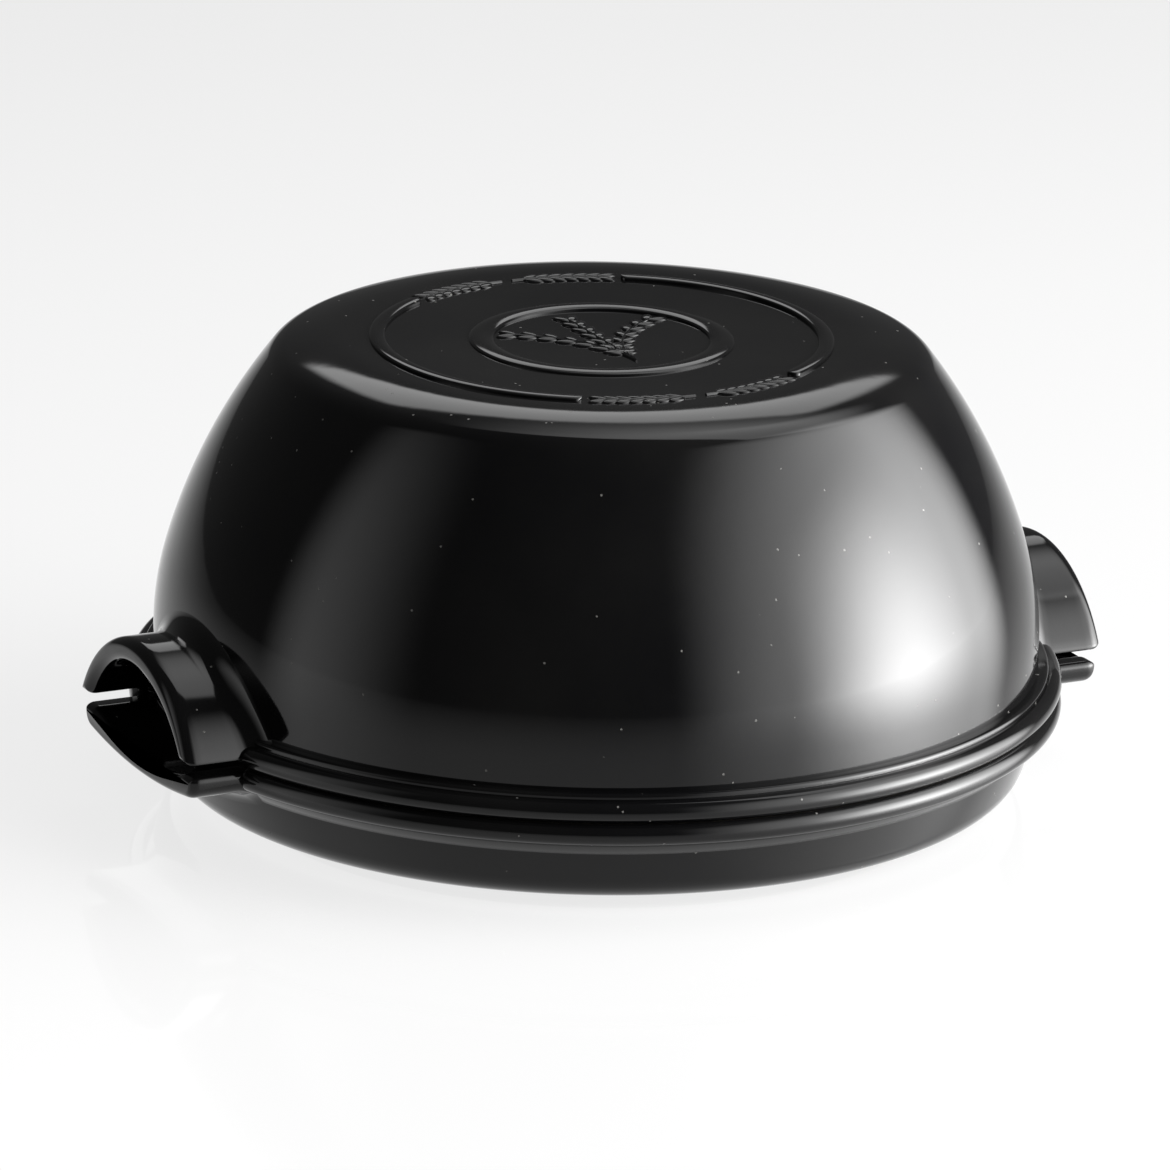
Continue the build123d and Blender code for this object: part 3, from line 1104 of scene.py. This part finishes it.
# %% Build a lug from its rings
def lug(name, section, end_round, reach, wall_radius, finish):
    """A pair of lugs on both sides, each a closed skin from its rooted ring to its end."""
    draw, length = end_round
    quarter = math.pi / 2

    def wall(point):
        return math.sqrt(wall_radius(point.y) ** 2 - point.x ** 2)

    base = section(0)
    stations = []
    for step in range(0, 9):
        turn = quarter * step / 8
        inset = draw * (1 - math.sin(turn))
        x = reach - length * (1 - math.cos(turn))
        stations.append([(x, point) for point, _ in section(inset)])
    body_end = reach - length
    for step in range(1, 9):
        ring = []
        for point, _ in base:
            start = wall(point) + COVE
            ring.append((body_end + (start - body_end) * step / 8, point))
        stations.append(ring)
    for step in range(1, 9):
        turn = quarter * step / 8
        ring = []
        for point, direction in base:
            moved = point + direction * COVE * (1 - math.cos(turn))
            ring.append((wall(moved) + COVE * (1 - math.sin(turn)), moved))
        stations.append(ring)
    stations.append([(x - LUG_SINK, point) for x, point in stations[-1]])
    count = len(base)
    vertices, faces = [], []
    for side in (1, -1):
        first = len(vertices)
        for ring in stations:
            vertices += [(x * MM * side, point.x * MM * side, point.y * MM) for x, point in ring]
        for station in range(len(stations) - 1):
            for index in range(count):
                here = first + station * count + index
                beside = first + station * count + (index + 1) % count
                faces.append((here, beside, beside + count, here + count))
        faces.append(tuple(range(first, first + count)))
        last = first + (len(stations) - 1) * count
        faces.append(tuple(range(last, last + count)))
    mesh = bpy.data.meshes.new(name)
    mesh.from_pydata(vertices, [], faces)
    mesh.materials.append(finish)
    piece = bpy.data.objects.new(name, mesh)
    bpy.context.collection.objects.link(piece)
    return clean(piece)


lid_lugs = lug("lid_lugs", arch_section, ARCH_END_ROUND, LUG_REACH, lid_wall_radius, LID_GLAZE)
dish_lugs = lug("dish_lugs", jaw_section, JAW_END_ROUND, JAW_REACH, dish_wall_radius, DISH_GLAZE)

# %% [markdown]
# ## Floor and light
# A glossy black pot is a mirror: what shows on it is the room. So the light is laid out from
# its reflections. A tall soft box at the right, brightest low down, gives the wide highlight
# on the dome; a weak one at the left gives the narrow strip; one behind draws the line along
# the top's edge and the rings; a high one lights the lugs' upper faces; and the dim room
# leaves the rest black. The boxes reach below the floor, which is pale and polished, so that
# the highlight on the dome runs on down the wall where the wall mirrors the floor.

# %% Make the floor
FLOOR_SIZE = 12.0
FLOOR_PALE = (0.16, 0.16, 0.16, 1) # what the lamps light
FLOOR_GLOW = 0.95                  # plain white added to it, which evens it out
FLOOR_ROUGHNESS = (0.07, 0.05)     # its least, and what the fine pattern adds


def make_floor():
    """A large pale floor with a polished face, level with the foot ring."""
    mesh = bpy.data.meshes.new("floor")
    half = FLOOR_SIZE / 2
    corners = [(-half, -half, 0), (half, -half, 0), (half, half, 0), (-half, half, 0)]
    mesh.from_pydata(corners, [], [(0, 1, 2, 3)])
    floor = bpy.data.objects.new("floor", mesh)
    bpy.context.collection.objects.link(floor)
    material = bpy.data.materials.new("floor_polished")
    material.use_nodes = True
    board = Board(material.node_tree)
    board.tree.nodes.clear()
    place = board.node("ShaderNodeTexCoord", out="Object")
    tooth = board.node("ShaderNodeTexNoise", {}, {"Vector": place, "Scale": 300, "Detail": 2})
    seen = board.node("ShaderNodeLightPath", out="Is Camera Ray")
    mirrored = board.node("ShaderNodeLightPath", out="Is Glossy Ray")
    through = board.node("ShaderNodeLightPath", out="Is Transmission Ray")
    share = (seen + mirrored + through).sum("MINIMUM", 1) * FLOOR_GLOW
    glow = board.node("ShaderNodeCombineColor", {}, [share, share, share])
    paper = board.node(
        "ShaderNodeBsdfPrincipled",
        {},
        {
            "Base Color": FLOOR_PALE,
            "Roughness": FLOOR_ROUGHNESS[0] + tooth * FLOOR_ROUGHNESS[1],
            "Specular IOR Level": 1.0,
            "Coat Weight": 1.0,
            "Emission Color": glow,
            "Emission Strength": 1.0,
        },
    )
    board.node("ShaderNodeOutputMaterial", {}, {"Surface": paper})
    mesh.materials.append(material)
    return floor


make_floor()


# %% A soft box whose edges fade
def fade(board, way, width):
    """A smooth rise from 0 at one edge to 1 at a share of the box's width."""
    return board.node(
        "ShaderNodeMapRange",
        {"interpolation_type": "SMOOTHSTEP"},
        {"Value": way, "From Max": width},
    )


def soft_box(name, azimuth, distance, height, size, radiance, fades=(0, 0, 0, 0), tipped=False):
    """A soft box round the cloche, its azimuth counted from the camera to its right.

    It is upright unless tipped to face the cloche. Distance, the height of its middle and its
    size are in metres; fades are the shares of its width or height over which it fades at its
    first and last edge, by azimuth, and at its low and high edge.
    """
    lamp = bpy.data.lights.new(name, "AREA")
    lamp.shape = "RECTANGLE"
    lamp.size, lamp.size_y = size
    lamp.energy = radiance * math.pi * lamp.size * lamp.size_y
    turn = math.radians(azimuth)
    toward = Vector((-math.sin(TURN), -math.cos(TURN), 0))
    right = Vector((math.cos(TURN), -math.sin(TURN), 0))
    place = (toward * math.cos(turn) + right * math.sin(turn)) * distance
    place.z = height
    faces = AIM - place if tipped else Vector((-place.x, -place.y, 0))
    box = bpy.data.objects.new(name, lamp)
    bpy.context.collection.objects.link(box)
    facing = faces.to_track_quat("-Z", "Y").to_matrix().to_4x4()
    box.matrix_world = Matrix.Translation(place) @ facing
    box.visible_camera = False
    lamp.use_nodes = True
    board = Board(lamp.node_tree)
    board.tree.nodes.clear()
    over = board.node("ShaderNodeNewGeometry", out="Parametric")
    split = board.tree.nodes.new("ShaderNodeSeparateXYZ")
    board.tree.links.new(over.socket, split.inputs[0])
    across, up = Wire(board, split.outputs["X"]), Wire(board, split.outputs["Y"])
    strength = across * 0 + 1
    for way, width in zip([across, 1 - across, up, 1 - up], fades):
        if width:
            strength = strength * fade(board, way, width)
    glow = board.node("ShaderNodeEmission", {}, {"Strength": strength})
    board.node("ShaderNodeOutputLight", {}, {"Surface": glow})
    return box


# %% Set the lights
ROOM_GREY = (0.09, 0.09, 0.09, 1)  # what the glaze mirrors between the boxes
soft_box("right_panel", 75, 1.6, 1.55, (4.76, 3.3), 13.0, fades=(0.73, 0.32, 0, 0.86))
soft_box("right_core", 80, 1.58, 0.57, (1.94, 1.32), 43.0, fades=(0.66, 0.64, 0, 0.92))
soft_box("left_strip", -68, 1.6, 1.35, (1.5, 2.9), 1.86, fades=(0.34, 0.69, 0, 1.0))
soft_box("back_strip", 180, 2.0, 1.35, (1.1, 0.8), 1.9, fades=(0.1, 0.1, 0.1, 0.2))
soft_box("upper_box", 148, 1.05, 1.72, (2.4, 1.5), 3.0, fades=(0.1, 0.5, 0.45, 0.05), tipped=True)

world = bpy.data.worlds.new("room")
world.use_nodes = True
world.node_tree.nodes["Background"].inputs["Color"].default_value = ROOM_GREY
bpy.context.scene.world = world
bpy.context.scene.view_settings.view_transform = "Standard"

# %% [markdown]
# ## Handing over
# Every piece rides on its body and carries its casting's glaze. The modelled
# shells stand for the two plain CAD castings.

# %% Tie the pieces to their bodies
lid_pieces = [lid_dome, lid_ledge, lid_bead, outer_ring, inner_ring, top_ears, lid_lugs]
dish_pieces = [dish_body, dish_ledge, dish_bead, dish_lugs, *ribs]
for piece in lid_pieces:
    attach(piece, "lid")
for piece in dish_pieces:
    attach(piece, "base")
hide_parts("dome_lid")
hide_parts("base_dish")
print(len(lid_pieces), "pieces ride on the lid,", len(dish_pieces), "on the base")
